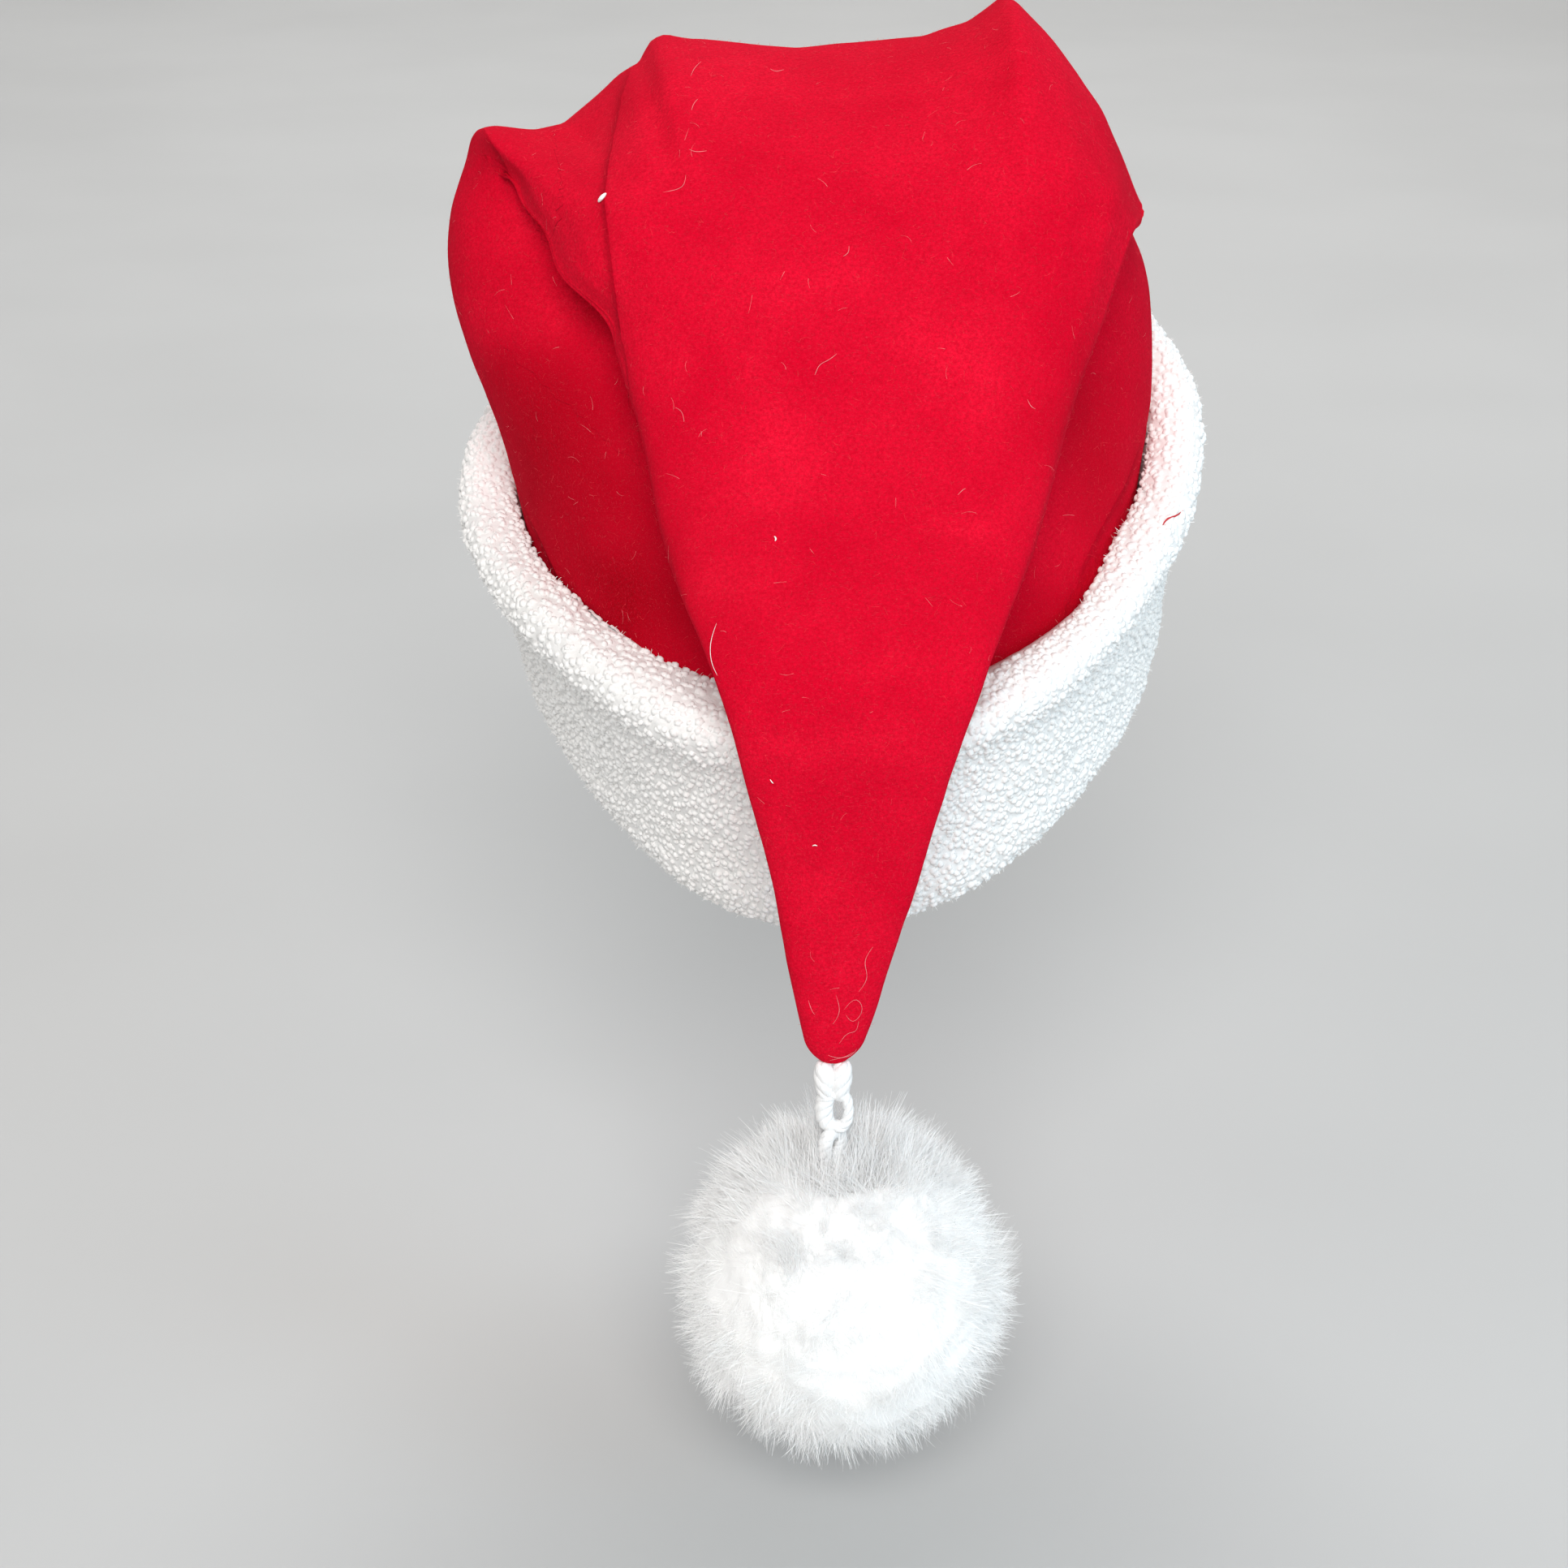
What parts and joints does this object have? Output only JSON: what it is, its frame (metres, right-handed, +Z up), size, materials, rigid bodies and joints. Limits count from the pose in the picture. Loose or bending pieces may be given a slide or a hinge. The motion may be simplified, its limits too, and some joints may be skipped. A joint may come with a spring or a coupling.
{
  "type": "santa hat",
  "caption": "Felt stocking hat with a deep fleece cuff, its long tapering tail folded over and hanging down one side to a fur pompom on a short crocheted tie.",
  "frame": {"origin": "middle of the head opening, in the plane of the cuff's lower edge", "axes": "+Z up; the tail and its pompom hang at the front, towards -Y; +X is to the right as the front is looked at. The cuff leans 20 degrees down towards the front and 5 degrees up to the right, as it sits on a head"},
  "size_m": [0.2172, 0.298, 0.3767],
  "materials": {
    "red_felt": "matte brushed felt",
    "white_fleece": "matte curly pile",
    "white_yarn": "matte spun yarn",
    "white_fur": "soft long fur"
  },
  "bodies": {
    "root": {"felt_crown": "red_felt", "fleece_cuff": "white_fleece", "crochet_tie": "white_yarn", "fur_pompom": "white_fur"}
  },
  "joints": []
}
